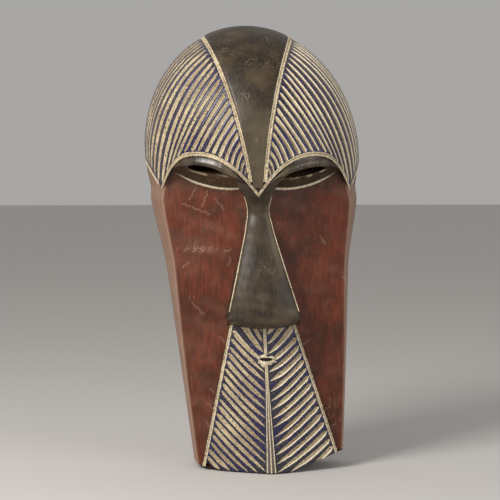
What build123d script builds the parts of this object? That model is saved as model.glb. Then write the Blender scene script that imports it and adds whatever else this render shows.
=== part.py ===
from build123d import *
import math
import os

# A face mask carved from one block of wood. Its cut lines are packed with white clay, and each set of
# clay lines is a part of its own. Millimetres, the face looks along -Y and +Z is up. The mask is carved
# upright with its open back on the plane y = 0, then skewed so that its middle line leans, and cut under
# the chin.

# Overall
lean = 0.054  # sideways shift towards -X for each millimetre of height
wall = 13
line_depth = 1.4

# Skull dome: the front half of an ellipsoid, carried straight back to the rim
dome_centre = Vector(0, -26, 274)
dome_half = Vector(93, 81, 108)

# Face block below the dome, which spreads faster from the flare upwards
foot_half_width = 64.8
flank_spread = 0.0873
flare_z = 185
flare_spread = 0.111
block_widest_z = 234
block_taper = 0.12
block_top_z = 276
dome_hollow_z = 288
foot_crease_inset = 3
brow_crease_inset = 12
crease_foot_y = -38
crease_brow_y = -58
front_foot_y = -60
front_brow_y = -84
brow_level_z = 250
cheek_hollow = 3

# Brow line, seen from the front: a gull wing from the root of the nose to each temple
brow_root_z = 238
brow_peak_x = 49
brow_peak_z = 272
temple_x = 80
temple_z = 242
rim_temple_z = 257

# Crest: a raised band that narrows from the top of the head down to the root of the nose
crest_foot_z = 251
crest_top_z = 372
crest_foot_half_width = 5
crest_rise = 1.6

# Nose: a long slab that widens downwards
nose_top_z = 243
nose_tip_z = 129
nose_wing_z = 138
nose_top_half_width = 5.5
nose_tip_half_width = 30
nose_edge_y = -50
nose_top_y = -90
nose_tip_y = -97

# Eyes and mouth
eye_centre = Vector(42, -66, 258)
eye_half = Vector(37, 24, 17)
eye_tilt = 10
eye_turn = 21
eye_slit_centre = Vector(42, -85, 258.5)
eye_slit_length = 33
eye_slit_height = 5.5
eye_slit_slope = 24
mouth_z = 100
mouth_length = 12
mouth_height = 3

# Foot: level in the middle, rising to both sides
foot_left_x = -32
foot_right_x = 14
foot_left_rise = 0.13
foot_right_rise = 0.34

# Chin panel: two flat facets that meet in an upright ridge, the right one wider at the foot
chin_top_z = 134
chin_top_half_width = 27
chin_foot_right = 63
chin_foot_left = 59
chin_slab = 30
chin_ridge_top_y = -80
chin_ridge_foot_y = -68
chin_facet_slope = 23

# Clay lines
forehead_line_count = 24
forehead_line_width = 2.4
brow_clearance = 5
chin_line_count = 14
chin_line_width = 2.6
chin_line_pitch = 8
chin_rise_right = 40
chin_rise_left = 45
border_width = 2.4
border_margin = 0.8
brow_band_height = 3
lid_line_width = 1.6
mouth_ring_width = 2

far = 200  # longer than any feature it cuts
spare = 2  # wood left behind the rim and under the foot, to be cut off flat at the end


def mirrored(shape):
    return mirror(shape, about=Plane.YZ)


def through_y(face):
    """A sketch in the XZ plane carried right through the mask from front to back."""
    return extrude(face, amount=far, both=True)


def xz(x, z):
    return Vector(x, 0, z)


# ---------------------------------------------------------------- face block

def face_half_widths(z):
    """Half widths of the open back and of the crease where the cheek turns into the flank."""
    level = min(z, block_widest_z)
    rim = foot_half_width + flank_spread * level + flare_spread * max(0, level - flare_z)
    rim -= block_taper * (z - level)
    inset = foot_crease_inset + (brow_crease_inset - foot_crease_inset) * (z / brow_level_z) ** 2
    return rim, rim - inset


def face_section(z, inset, back):
    """A level cut through the face: flat at the open back, straight flanks and hollowed cheeks."""
    rim, crease = face_half_widths(z)
    share = z / brow_level_z
    rim_x, crease_x = rim - inset, crease - inset
    crease_y = crease_foot_y + (crease_brow_y - crease_foot_y) * share + inset
    front_y = front_foot_y + (front_brow_y - front_foot_y) * share + inset
    cheek_x = crease_x / 2
    cheek_y = (crease_y + front_y) / 2 + cheek_hollow
    outline = [
        Line((rim_x, back, z), (crease_x, crease_y, z)),
        ThreePointArc((crease_x, crease_y, z), (cheek_x, cheek_y, z), (0, front_y, z)),
        ThreePointArc((0, front_y, z), (-cheek_x, cheek_y, z), (-crease_x, crease_y, z)),
        Line((-crease_x, crease_y, z), (-rim_x, back, z)),
        Line((-rim_x, back, z), (rim_x, back, z)),
    ]
    return Face(Wire(outline))


def face_block(levels, inset, back):
    return loft([face_section(z, inset, back) for z in levels])


# ---------------------------------------------------------------- skull dome

def dome_solid(inset, back):
    half = dome_half - Vector(inset, inset, inset)
    bowl = scale(Rot(0, 0, 180) * Sphere(1, arc_size3=180, align=None), by=(half.X, half.Y, half.Z))
    ring_plane = Plane(dome_centre, x_dir=(1, 0, 0), z_dir=(0, 1, 0))
    ring = extrude(ring_plane * Ellipse(half.X, half.Z), amount=back - dome_centre.Y)
    return Pos(dome_centre) * bowl + ring


def brow_z(x):
    """Height of the brow line at x to the side of the nose."""
    if x < brow_peak_x:
        return brow_peak_z - (brow_peak_z - brow_root_z) * (1 - x / brow_peak_x) ** 2.1
    reach = (x - brow_peak_x) / (temple_x - brow_peak_x)
    return brow_peak_z - (brow_peak_z - temple_z) * reach ** 2.8


brow_stations = [0, 10, 22, 35, brow_peak_x, 60, 70, 77, temple_x]


def brow_edge(rise):
    """The brow line on the +X side, raised straight up."""
    return Spline([xz(x, brow_z(x) + rise) for x in brow_stations])


def brow_region(rise):
    """Everything above the brow line, as a face in the XZ plane, +X side only."""
    temple = xz(temple_x, temple_z + rise)
    rim = xz(temple_x + 20, temple_z + rise + 2 * (rim_temple_z - temple_z))
    return Face(Wire([
        brow_edge(rise),
        Line(temple, rim),
        Line(rim, xz(rim.X, 400)),
        Line(xz(rim.X, 400), xz(0, 400)),
        Line(xz(0, 400), xz(0, brow_root_z + rise)),
    ]))


def crest_half_width(z):
    share = (z - crest_foot_z) / (crest_top_z - crest_foot_z)
    return crest_foot_half_width + 14.2 * share + 17.8 * share ** 2


def crest_region(margin):
    """The crest, widened by a margin, as a face in the XZ plane."""
    levels = [crest_foot_z, crest_foot_z + 20, 310, 345, 385]
    right = Spline([xz(crest_half_width(z) + margin, z) for z in levels])
    left = Spline([xz(-crest_half_width(z) - margin, z) for z in levels])
    return Face(Wire([right, Line(right @ 1, left @ 1), left, Line(left @ 0, right @ 0)]))


# ---------------------------------------------------------------- eyes, nose and chin

def eye_bulge():
    bulge = scale(Sphere(1), by=(eye_half.X, eye_half.Y, eye_half.Z))
    return Pos(eye_centre) * Rot(0, -eye_tilt, eye_turn) * bulge


def slit(length, height):
    """A pointed opening lying along X, cut through along Y."""
    tip = length / 2
    upper = ThreePointArc((-tip, 0, 0), (0, 0, height / 2), (tip, 0, 0))
    lower = ThreePointArc((tip, 0, 0), (0, 0, -height / 2), (-tip, 0, 0))
    return through_y(Face(Wire([upper, lower])))


def nose_section(share):
    """A level cut through the nose, at a share of the way down from its root to its tip."""
    z = nose_top_z + share * (nose_tip_z - nose_top_z)
    x = nose_top_half_width + share * (nose_tip_half_width - nose_top_half_width)
    y = nose_top_y + share * (nose_tip_y - nose_top_y)
    side_y = y + 4 + 8 * share
    return Face(Wire([
        ThreePointArc((-x, side_y, z), (0, y, z), (x, side_y, z)),
        Line((x, side_y, z), (x + 2, nose_edge_y, z)),
        Line((x + 2, nose_edge_y, z), (-x - 2, nose_edge_y, z)),
        Line((-x - 2, nose_edge_y, z), (-x, side_y, z)),
    ]))


chin_ridge_top = Vector(0, chin_ridge_top_y, chin_top_z)
chin_ridge_foot = Vector(0, chin_ridge_foot_y, 0)
facet_across = Vector(math.cos(math.radians(chin_facet_slope)), math.sin(math.radians(chin_facet_slope)), 0)
facet_normal = facet_across.cross(chin_ridge_top - chin_ridge_foot)
facet = Plane(chin_ridge_foot, x_dir=facet_across, z_dir=facet_normal)


def chin_half_width(z, foot):
    return foot + (z / chin_top_z) * (chin_top_half_width - foot)


def chin_wedge(foot):
    """Half of the chin panel, +X side: a slab behind one facet, trimmed to the panel's outline."""
    slab = extrude(facet * Rectangle(far, 2 * far), amount=-chin_slab)
    outline = Polygon(
        (0, -spare), (foot, -spare), (foot, 0), (chin_top_half_width, chin_top_z), (0, chin_top_z), align=None
    )
    return slab & through_y(Plane.XZ * outline)


def facet_point(x, z):
    """The point of the facet that lies at x and z, in the facet's own two coordinates."""
    share = z / chin_top_z
    ridge = chin_ridge_foot + (chin_ridge_top - chin_ridge_foot) * share
    local = facet.to_local_coords(ridge + facet_across * (x / facet_across.X))
    return local.X, local.Y


def lens(start, end, width):
    """A long pointed shape between two points of a sketch."""
    start, end = Vector(*start), Vector(*end)
    along = (end - start).normalized()
    across = Vector(-along.Y, along.X) * (width / 2)
    middle = (start + end) * 0.5
    return Face(Wire([
        ThreePointArc(start, middle + across, end),
        ThreePointArc(end, middle - across, start),
    ]))


# ---------------------------------------------------------------- clay lines

def dome_direction(x_share, angle):
    """A unit direction in the dome's own stretched space: sideways share, then angle up from the front."""
    rest = math.sqrt(1 - x_share ** 2)
    return Vector(x_share, -rest * math.cos(math.radians(angle)), rest * math.sin(math.radians(angle)))


def on_dome(direction):
    return Vector(direction.X * dome_half.X, direction.Y * dome_half.Y, direction.Z * dome_half.Z)


def forehead_line_cut(number):
    """A pointed slab that leaves the crest, curves over the dome and ends just above the brow."""
    share = number / (forehead_line_count - 1)
    climb = -6 + 92 * share
    start_x = crest_half_width(dome_centre.Z + 97 * math.sin(math.radians(climb))) + 5
    start = dome_direction(start_x / dome_half.X, climb)
    brow_share = share - 0.065 * math.sin(2 * math.pi * share)
    end_x = dome_half.X * math.sin(math.radians(8 + 70 * brow_share))
    if end_x < temple_x:
        end_z = brow_z(end_x) + brow_clearance
    else:
        end_z = temple_z + brow_clearance + (end_x - temple_x) * 1.6
    end_height = (end_z - dome_centre.Z) / dome_half.Z
    end_x_share = end_x / dome_half.X
    end = Vector(end_x_share, -math.sqrt(1 - end_x_share ** 2 - end_height ** 2), end_height)
    first, last = on_dome(start), on_dome(end)
    outward = on_dome((start + end).normalized()).normalized()
    side = first.cross(last).normalized()
    sketch_plane = Plane(dome_centre, x_dir=side.cross(outward), z_dir=outward)
    first, last = (sketch_plane.to_local_coords(dome_centre + p) for p in (first, last))
    pointed = lens((first.X, 0), (last.X, 0), forehead_line_width)
    return extrude(sketch_plane.offset(30) * pointed, amount=100, dir=outward)


def forehead_lines(skin):
    lines = []
    for number in range(forehead_line_count):
        lines += (skin & forehead_line_cut(number)).solids()
    return lines


def chin_lines(foot, rise_angle):
    """Slanting cuts from the ridge up to the panel's border, +X side, with room left round the mouth."""
    lines = []
    rise = math.tan(math.radians(rise_angle))
    taper = (foot - chin_top_half_width) / chin_top_z
    lowest_z, highest_z, clear_of_ridge, clear_of_border = 8, chin_top_z - 4, 5, 5
    for number in range(chin_line_count):
        ridge_z = (number - 3) * chin_line_pitch
        start_x = clear_of_ridge + max(0, lowest_z - ridge_z) / rise
        if abs(ridge_z + 7 - mouth_z) < 9:
            start_x = 12
        end_x = (foot - clear_of_border - taper * ridge_z) / (1 + taper * rise)
        end_x = min(end_x, (highest_z - ridge_z) / rise)
        start = facet_point(start_x, ridge_z + rise * start_x)
        end = facet_point(end_x, ridge_z + rise * end_x)
        lines.append(extrude(facet * lens(start, end, chin_line_width), amount=line_depth, dir=-facet.z_dir))
    return lines


def surface_inlay(wood, region):
    """The clay of one line: the outermost layer of the wood, as deep as the cut, under a region of the XZ plane."""
    column = wood & through_y(region)
    return (column - Pos(0, line_depth, 0) * wood).solids()


def edge_strip(half_width, z_low, z_high):
    """A strip just inside an edge whose half width is given by height, +X side."""
    low, high = half_width(z_low) - border_margin, half_width(z_high) - border_margin
    return Plane.XZ * Polygon(
        (low, z_low), (high, z_high), (high - border_width, z_high), (low - border_width, z_low), align=None
    )


def lower_lid_strip():
    """The line under the eye, from beside the nose out to the temple, +X side."""
    line_points = [(12, 243.2), (28, 242.6), (47, 247), (69, 257)]
    tip_x, tip_z = line_points[-1]
    lower = Spline([xz(x, z) for x, z in line_points])
    raised = [xz(x, z + lid_line_width) for x, z in line_points[-2:0:-1]]
    upper = Spline([xz(tip_x, tip_z + 0.6), *raised, xz(line_points[0][0], line_points[0][1] + lid_line_width)])
    return Face(Wire([lower, Line(lower @ 1, upper @ 0), upper, Line(upper @ 1, lower @ 0)]))


def nose_half_width(z):
    share = (nose_top_z - z) / (nose_top_z - nose_tip_z)
    return nose_top_half_width + share * (nose_tip_half_width - nose_top_half_width)


def centre_strip(z_low, z_high):
    """The upright line down the middle of the chin, wider towards its foot."""
    low, high = (1.2 + 2 * (1 - z / chin_top_z) ** 2 for z in (z_low, z_high))
    return Plane.XZ * Polygon((-low, z_low), (low, z_low), (high, z_high), (-high, z_high), align=None)


def as_group(solids):
    return Compound(children=list(solids))


def stand_on_foot(shape):
    """Skew the mask so that it leans, and cut it flat behind and level under the chin, rising to the sides."""
    skew = Matrix([[1, 0, -lean, 0], [0, 1, 0, 0], [0, 0, 1, 0]])
    left = (foot_left_x - far, far * foot_left_rise)
    right = (foot_right_x + far, far * foot_right_rise)
    below = Polygon(left, (foot_left_x, 0), (foot_right_x, 0), right, (right[0], -far), (left[0], -far), align=None)
    behind = Pos(0, far / 2, far) * Box(2 * far, far, 3 * far)
    return shape.transform_geometry(skew) - through_y(Plane.XZ * below) - behind


# ---------------------------------------------------------------- assembly

block = face_block([-spare, 60, 120, 175, 205, block_widest_z, block_top_z], 0, spare)
dome = dome_solid(0, spare)
dome_skin = dome - dome_solid(line_depth, 10)
above_brow = through_y(brow_region(0)) + mirrored(through_y(brow_region(0)))
crest = dome_solid(-crest_rise, spare) & through_y(crest_region(0))
right_eye = eye_bulge()
nose_reach = nose_half_width(nose_tip_z) + 6
under_nose = ThreePointArc(xz(-nose_reach, nose_wing_z), xz(0, nose_tip_z), xz(nose_reach, nose_wing_z))
nose_outline = Face(Wire([under_nose, Line(under_nose @ 1, xz(0, 400)), Line(xz(0, 400), under_nose @ 0)]))
nose = loft([nose_section(share) for share in (0, 0.5, 1)]) & through_y(nose_outline)
right_chin = chin_wedge(chin_foot_right)
left_chin = mirrored(chin_wedge(chin_foot_left))

face_hollow = face_block([16, 60, 120, 175, 205, block_widest_z, dome_hollow_z + 10], wall, 10)
dome_hollow = dome_solid(wall, 10) & Pos(0, 0, dome_hollow_z + far / 2) * Box(far, far, far)

carving = block + (dome & above_brow) + (crest & above_brow)
carving = carving + right_eye + mirrored(right_eye) + nose + right_chin + left_chin
carving = carving - face_hollow - dome_hollow

eye_cut = Pos(eye_slit_centre) * Rot(-eye_slit_slope, 0, 0) * Rot(0, -eye_tilt, 0) * slit(eye_slit_length, eye_slit_height)
mouth_cut = Pos(0, 0, mouth_z) * slit(mouth_length, mouth_height)
carving = carving - eye_cut - mirrored(eye_cut) - mouth_cut

right_half = Pos(far / 2, 0, far) * Box(far, far * 2, far * 2.2)
beyond_temple = Pos(temple_x + far / 2, 0, far) * Box(far, far * 2, far * 2.2)
crest_band = through_y(crest_region(border_width)) - through_y(crest_region(0))
brow_band = (through_y(brow_region(0)) - through_y(brow_region(brow_band_height))) & dome_skin
right_strip = edge_strip(lambda z: chin_half_width(z, chin_foot_right), 12, 122)
left_strip = mirrored(edge_strip(lambda z: chin_half_width(z, chin_foot_left), 12, 122))

shared_lines = {
    "forehead_lines": forehead_lines(dome_skin),
    "crest_border": (crest_band & dome_skin & right_half).solids(),
    "brow_border": (brow_band - beyond_temple).solids(),
    "temple_line": (brow_band & beyond_temple).solids(),
    "lower_lid_line": surface_inlay(carving, lower_lid_strip()),
    "nose_outline": surface_inlay(carving, edge_strip(nose_half_width, 142, 232)),
}
right_lines = {
    **shared_lines,
    "chin_border": surface_inlay(carving, right_strip),
    "chin_lines": chin_lines(chin_foot_right, chin_rise_right),
}
left_lines = {name: [mirrored(s) for s in solids] for name, solids in shared_lines.items()}
left_lines["chin_border"] = surface_inlay(carving, left_strip)
left_lines["chin_lines"] = [mirrored(s) for s in chin_lines(chin_foot_left, chin_rise_left)]

groups = {}
for name in right_lines:
    groups[name + "_right"] = as_group(right_lines[name])
    groups[name + "_left"] = as_group(left_lines[name])

centre_lines = surface_inlay(carving, centre_strip(10, mouth_z - 9))
centre_lines += surface_inlay(carving, centre_strip(mouth_z + 9, 122))
groups["chin_centre_line"] = as_group(centre_lines)
inner_ring = Ellipse(mouth_length / 2 + 1.5, mouth_height / 2 + 1.5)
outer_ring = Ellipse(mouth_length / 2 + 1.5 + mouth_ring_width, mouth_height / 2 + 1.5 + mouth_ring_width)
mouth_ring = Plane.XZ * Pos(0, mouth_z) * (outer_ring - inner_ring)
groups["mouth_surround"] = as_group(surface_inlay(carving, mouth_ring))

clay = [s for group in groups.values() for s in group.solids()]
wood = carving - clay

parts = {"wood_shell": wood, **groups}
parts = {name: stand_on_foot(shape) for name, shape in parts.items()}
box = parts["wood_shell"].bounding_box()
to_origin = Pos(-(box.min.X + box.max.X) / 2, -(box.min.Y + box.max.Y) / 2, 0)

os.makedirs("parts", exist_ok=True)
for name, shape in parts.items():
    export_step(to_origin * shape, f"parts/{name}.step")
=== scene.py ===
import math
import bpy
import numpy as np
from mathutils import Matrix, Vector


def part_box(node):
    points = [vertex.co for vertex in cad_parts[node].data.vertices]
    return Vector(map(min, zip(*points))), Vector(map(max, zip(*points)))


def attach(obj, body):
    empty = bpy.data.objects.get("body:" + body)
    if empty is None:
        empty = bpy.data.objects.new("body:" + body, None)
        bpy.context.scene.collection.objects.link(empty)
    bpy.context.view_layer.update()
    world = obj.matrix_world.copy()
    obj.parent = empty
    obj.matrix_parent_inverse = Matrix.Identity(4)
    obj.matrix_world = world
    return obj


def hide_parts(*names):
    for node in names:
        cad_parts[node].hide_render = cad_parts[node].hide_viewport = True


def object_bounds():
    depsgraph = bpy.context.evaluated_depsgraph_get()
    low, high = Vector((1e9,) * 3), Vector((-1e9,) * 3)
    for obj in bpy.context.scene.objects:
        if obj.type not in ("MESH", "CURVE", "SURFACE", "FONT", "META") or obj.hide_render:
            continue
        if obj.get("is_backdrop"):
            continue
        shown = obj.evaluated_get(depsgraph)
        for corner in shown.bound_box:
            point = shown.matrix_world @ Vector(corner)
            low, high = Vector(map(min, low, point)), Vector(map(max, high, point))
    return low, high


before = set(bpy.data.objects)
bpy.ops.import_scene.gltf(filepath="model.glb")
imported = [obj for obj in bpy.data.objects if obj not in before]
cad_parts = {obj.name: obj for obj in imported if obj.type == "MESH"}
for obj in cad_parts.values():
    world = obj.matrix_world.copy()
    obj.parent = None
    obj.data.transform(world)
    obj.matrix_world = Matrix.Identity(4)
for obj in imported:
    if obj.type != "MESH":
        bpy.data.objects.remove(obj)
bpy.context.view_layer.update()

# the carver's frame: upright, in millimetres, x = 0 on the midline and the open back on y = 0
mouthLow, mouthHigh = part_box("mouth_surround")
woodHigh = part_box("wood_shell")[1]
stance = {"lean": 0.054, "mouthHeight": 100.0, "footLeft": -32.0, "footRight": 14.0, "riseLeft": 0.13,
          "riseRight": 0.34, "aboveFloor": 0.02}
mouthHeight = stance["mouthHeight"]
shiftX = (mouthLow.x + mouthHigh.x) * 500 + mouthHeight * stance["lean"]
shiftY = woodHigh.y * 1000
sides = ((1, "right"), (-1, "left"))


# height of the foot's cut: level in the middle, rising to both sides
def footHeight(x):
    left = (stance["footLeft"] - x) * stance["riseLeft"]
    right = (x - stance["footRight"]) * stance["riseRight"]
    return np.maximum(0, np.maximum(left, right))


# from the carver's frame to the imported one, in metres: leaning with height, set on the foot, flat at the back
def toRow(points):
    x = points[..., 0] - points[..., 2] * stance["lean"]
    y = np.minimum(points[..., 1], 0)
    z = np.maximum(points[..., 2], footHeight(x) + stance["aboveFloor"])
    return np.stack([x + shiftX, y + shiftY, z], axis=-1) / 1000


def smoothStep(low, high, value):
    t = np.clip((value - low) / (high - low), 0, 1)
    return t * t * (3 - 2 * t)


# slow, even unevenness of a hand-cut surface, between about -1 and 1
def wave(x, y, z, scale, seed):
    r = np.random.default_rng(seed)
    total = 0
    for octave in range(5):
        k = r.normal(size=3) * (1.3 ** octave) / scale
        total = total + np.sin(x * k[0] + y * k[1] + z * k[2] + r.uniform(0, 6.28)) / (1.2 ** octave)
    return total / 3.6


def waveAt(points, scale, seed):
    return wave(points[..., 0], points[..., 1], points[..., 2], scale, seed)


def mathNode(tree, operation, a, b=0.5):
    node = tree.nodes.new("ShaderNodeMath")
    node.operation = operation
    for socket, value in zip(node.inputs, (a, b)):
        if isinstance(value, (int, float)):
            socket.default_value = value
        else:
            tree.links.new(value, socket)
    return node.outputs[0]


def noiseNode(tree, coords, scale, detail=4, rough=0.6, stretch=(1, 1, 1)):
    mapping = tree.nodes.new("ShaderNodeMapping")
    mapping.inputs["Scale"].default_value = stretch
    tree.links.new(coords, mapping.inputs["Vector"])
    noise = tree.nodes.new("ShaderNodeTexNoise")
    noise.inputs["Scale"].default_value = scale
    noise.inputs["Detail"].default_value = detail
    noise.inputs["Roughness"].default_value = rough
    tree.links.new(mapping.outputs[0], noise.inputs["Vector"])
    return noise.outputs["Fac"]


def rampNode(tree, value, low, high):
    node = tree.nodes.new("ShaderNodeMapRange")
    node.interpolation_type = "SMOOTHSTEP"
    tree.links.new(value, node.inputs["Value"])
    node.inputs["From Min"].default_value = low
    node.inputs["From Max"].default_value = high
    return node.outputs["Result"]


# the four kinds of mark that every finish mixes its colours by
def buildGrain():
    group = bpy.data.node_groups.new("Wood grain", "ShaderNodeTree")
    for label in ("Streaks", "Blotches", "Scratches", "Pits"):
        group.interface.new_socket(label, in_out="OUTPUT", socket_type="NodeSocketFloat")
    leave = group.nodes.new("NodeGroupOutput")
    coords = group.nodes.new("ShaderNodeTexCoord").outputs["Object"]
    streaks = noiseNode(group, coords, 420, 5, 0.65, (1, 1, 0.09))
    blotches = noiseNode(group, coords, 38, 5, 0.6)
    fine = noiseNode(group, coords, 620, 3, 0.65)
    hairs = noiseNode(group, coords, 260, 2, 0.5, (1, 1, 0.06))
    patches = noiseNode(group, coords, 55, 2, 0.5)
    thin = mathNode(group, "ABSOLUTE", mathNode(group, "SUBTRACT", hairs, 0.5))
    thin = mathNode(group, "SUBTRACT", 1.0, rampNode(group, thin, 0.0, 0.012))
    scratches = mathNode(group, "MULTIPLY", thin, rampNode(group, patches, 0.52, 0.66))
    pits = rampNode(group, fine, 0.54, 0.64)
    for label, value in zip(("Streaks", "Blotches", "Scratches", "Pits"), (streaks, blotches, scratches, pits)):
        group.links.new(value, leave.inputs[label])
    return group


grain = buildGrain()


def linear(hexCode):
    values = [int(hexCode[i:i + 2], 16) / 255 for i in (0, 2, 4)]
    return tuple(((v + 0.055) / 1.055) ** 2.4 if v > 0.04 else v / 12.92 for v in values)


# a and b are colour codes or colours made by other nodes
def mixColour(tree, factor, a, b):
    node = tree.nodes.new("ShaderNodeMix")
    node.data_type = "RGBA"
    tree.links.new(factor, node.inputs["Factor"])
    for socket, value in ((node.inputs["A"], a), (node.inputs["B"], b)):
        if isinstance(value, str):
            socket.default_value = (*linear(value), 1)
        else:
            tree.links.new(value, socket)
    return node.outputs["Result"]


def newMaterial(name):
    material = bpy.data.materials.new(name)
    material.use_nodes = True
    tree = material.node_tree
    effects = tree.nodes.new("ShaderNodeGroup")
    effects.node_tree = grain
    return material, tree, effects.outputs


def attributeNode(tree, name):
    node = tree.nodes.new("ShaderNodeAttribute")
    node.attribute_name = name
    return node.outputs["Fac"]


def setShader(tree, colour, roughness, specular, height, strength, distance):
    shader = tree.nodes["Principled BSDF"]
    tree.links.new(colour, shader.inputs["Base Color"])
    shader.inputs["Roughness"].default_value = roughness
    shader.inputs["Specular IOR Level"].default_value = specular
    bump = tree.nodes.new("ShaderNodeBump")
    bump.inputs["Strength"].default_value = strength
    bump.inputs["Distance"].default_value = distance
    tree.links.new(height, bump.inputs["Height"])
    tree.links.new(bump.outputs[0], shader.inputs["Normal"])


# dark stained and polished wood: crest, eyelids and nose
stain = {"shade": "1c150d", "tone": "3b2f1f", "blotch": "493b29", "wornAndSheen": "6c604b", "scratch": "8a7b62"}
darkWood, tree, effects = newMaterial("dark_polished_wood")
colour = mixColour(tree, rampNode(tree, effects["Streaks"], 0.3, 0.7), stain["shade"], stain["tone"])
colour = mixColour(tree, rampNode(tree, effects["Blotches"], 0.42, 0.68), colour, stain["blotch"])
# the worn colour is both real wear and painted sheen: highlights on the crest, the eyelid tops and the nose bevel
colour = mixColour(tree, attributeNode(tree, "wearAndSheen"), colour, stain["wornAndSheen"])
colour = mixColour(tree, effects["Scratches"], colour, stain["scratch"])
setShader(tree, colour, 0.42, 0.45, effects["Streaks"], 0.35, 0.0006)

# the same stain rubbed to a shine on the eyelids, with clay smeared under the slits
lidWood = darkWood.copy()
lidWood.name = "glossy_lid_wood"
lidTree = lidWood.node_tree
lidShader = lidTree.nodes["Principled BSDF"]
lidShader.inputs["Roughness"].default_value = 0.27
lidShader.inputs["Specular IOR Level"].default_value = 0.6
stained = lidShader.inputs["Base Color"].links[0].from_socket
smeared = mixColour(lidTree, attributeNode(lidTree, "chalk"), stained, "c9bb98")
lidTree.links.new(smeared, lidShader.inputs["Base Color"])

# blue-black pigment left standing between the cut lines
pigment = {"blue": "191845", "black": "232130", "thin": "3c3650", "dirt": "8a7a62", "dust": "958a78"}
indigo, tree, effects = newMaterial("indigo_ridges")
colour = mixColour(tree, rampNode(tree, effects["Blotches"], 0.40, 0.62), pigment["blue"], pigment["black"])
colour = mixColour(tree, rampNode(tree, effects["Streaks"], 0.55, 0.78), colour, pigment["thin"])
colour = mixColour(tree, mathNode(tree, "MULTIPLY", effects["Pits"], 0.35), colour, pigment["dirt"])
colour = mixColour(tree, attributeNode(tree, "wearAndSheen"), colour, pigment["dust"])
setShader(tree, colour, 0.34, 0.5, effects["Streaks"], 0.3, 0.0005)

# white clay rubbed into the cuts: pitted and dirty on the floor, with a painted highlight on the steep wall that
# faces the light
chalk = {"dirty": "9c8868", "clean": "cfbf9e", "pit": "54452f", "wall": "ecdfc4"}
clay, tree, effects = newMaterial("white_clay")
colour = mixColour(tree, rampNode(tree, effects["Blotches"], 0.35, 0.7), chalk["dirty"], chalk["clean"])
colour = mixColour(tree, effects["Pits"], colour, chalk["pit"])
# painted highlight: the clay turns bright cream where the wall mark is high
colour = mixColour(tree, attributeNode(tree, "wall"), colour, chalk["wall"])
setShader(tree, colour, 0.85, 0.2, effects["Pits"], -0.5, 0.0005)

# red ochre cheeks, turning to a paler dusty stain on the flanks
ochre = {"shade": "502212", "tone": "73341d", "blotch": "432211", "flankShade": "7e5b48", "flankTone": "9e7e6a",
         "shadeColour": "2c241c", "wornAndSheen": "c8a890", "scratch": "8a5a44"}
redWood, tree, effects = newMaterial("red_stained_wood")
colour = mixColour(tree, rampNode(tree, effects["Streaks"], 0.25, 0.75), ochre["shade"], ochre["tone"])
colour = mixColour(tree, rampNode(tree, effects["Blotches"], 0.30, 0.62), ochre["blotch"], colour)
flankColour = rampNode(tree, effects["Streaks"], 0.3, 0.7)
flankColour = mixColour(tree, flankColour, ochre["flankShade"], ochre["flankTone"])
colour = mixColour(tree, attributeNode(tree, "flank"), colour, flankColour)
# painted shade, darkest under the brow and round the eyes
colour = mixColour(tree, attributeNode(tree, "paintedShade"), colour, ochre["shadeColour"])
colour = mixColour(tree, attributeNode(tree, "wearAndSheen"), colour, ochre["wornAndSheen"])
colour = mixColour(tree, effects["Scratches"], colour, ochre["scratch"])
setShader(tree, colour, 0.50, 0.33, effects["Streaks"], 0.3, 0.0005)

# bare wood of the hollow, the rim and under the chin
bare = {"shade": "6d4f38", "tone": "94714f", "blotch": "5a4030", "shadeColour": "17110c"}
rawWood, tree, effects = newMaterial("raw_adzed_wood")
colour = mixColour(tree, rampNode(tree, effects["Streaks"], 0.3, 0.7), bare["shade"], bare["tone"])
colour = mixColour(tree, rampNode(tree, effects["Blotches"], 0.4, 0.7), colour, bare["blotch"])
# painted shade inside the hollow, in the mouth slot and under the chin
colour = mixColour(tree, attributeNode(tree, "paintedShade"), colour, bare["shadeColour"])
setShader(tree, colour, 0.75, 0.3, effects["Streaks"], 0.5, 0.0008)
print("finishes ready")


# a sheet is a grid primitive whose vertices are laid along the carved surface; marks are painted per vertex
def laySheet(name, points, material, marks):
    rows, columns = points.shape[:2]
    bpy.ops.object.select_all(action="DESELECT")
    bpy.ops.mesh.primitive_grid_add(x_subdivisions=columns - 1, y_subdivisions=rows - 1, size=0.1)
    sheet = bpy.context.object
    sheet.name = name
    sheet.data.name = name
    sheet.data.vertices.foreach_set("co", toRow(points).astype(np.float32).ravel())
    for label, values in marks.items():
        painted = sheet.data.attributes.new(label, "FLOAT", "POINT")
        painted.data.foreach_set("value", np.broadcast_to(values, (rows, columns)).astype(np.float32).ravel())
    sheet.data.materials.append(material)
    sheet.data.update()
    return sheet


# turns a sheet's faces away from a point inside the wood, given in the carver's frame
def faceAway(sheet, inner):
    centre = Vector(toRow(np.array(inner, float)))
    total = sum(polygon.normal.dot(polygon.center - centre) * polygon.area for polygon in sheet.data.polygons)
    if total < 0:
        sheet.data.flip_normals()


# turns a sheet's faces the given way
def faceAlong(sheet, direction):
    total = sum(polygon.normal.dot(Vector(direction)) * polygon.area for polygon in sheet.data.polygons)
    if total < 0:
        sheet.data.flip_normals()


def finishPiece(sheet, nodes, angle=40):
    bpy.ops.object.select_all(action="DESELECT")
    sheet.select_set(True)
    bpy.context.view_layer.objects.active = sheet
    bpy.ops.object.shade_smooth_by_angle(angle=math.radians(angle))
    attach(sheet, "root")
    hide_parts(*nodes)


def finishWood(name, points, material, marks, inner, angle=40):
    sheet = laySheet(name, points, material, marks)
    faceAway(sheet, inner)
    finishPiece(sheet, ["wood_shell"], angle)


def joinSheets(name, sheets):
    bpy.ops.object.select_all(action="DESELECT")
    for sheet in sheets:
        sheet.select_set(True)
    bpy.context.view_layer.objects.active = sheets[0]
    bpy.ops.object.join()
    sheets[0].name = name
    sheets[0].data.name = name
    return sheets[0]


def unit(v):
    return v / np.linalg.norm(v, axis=-1, keepdims=True)


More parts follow.
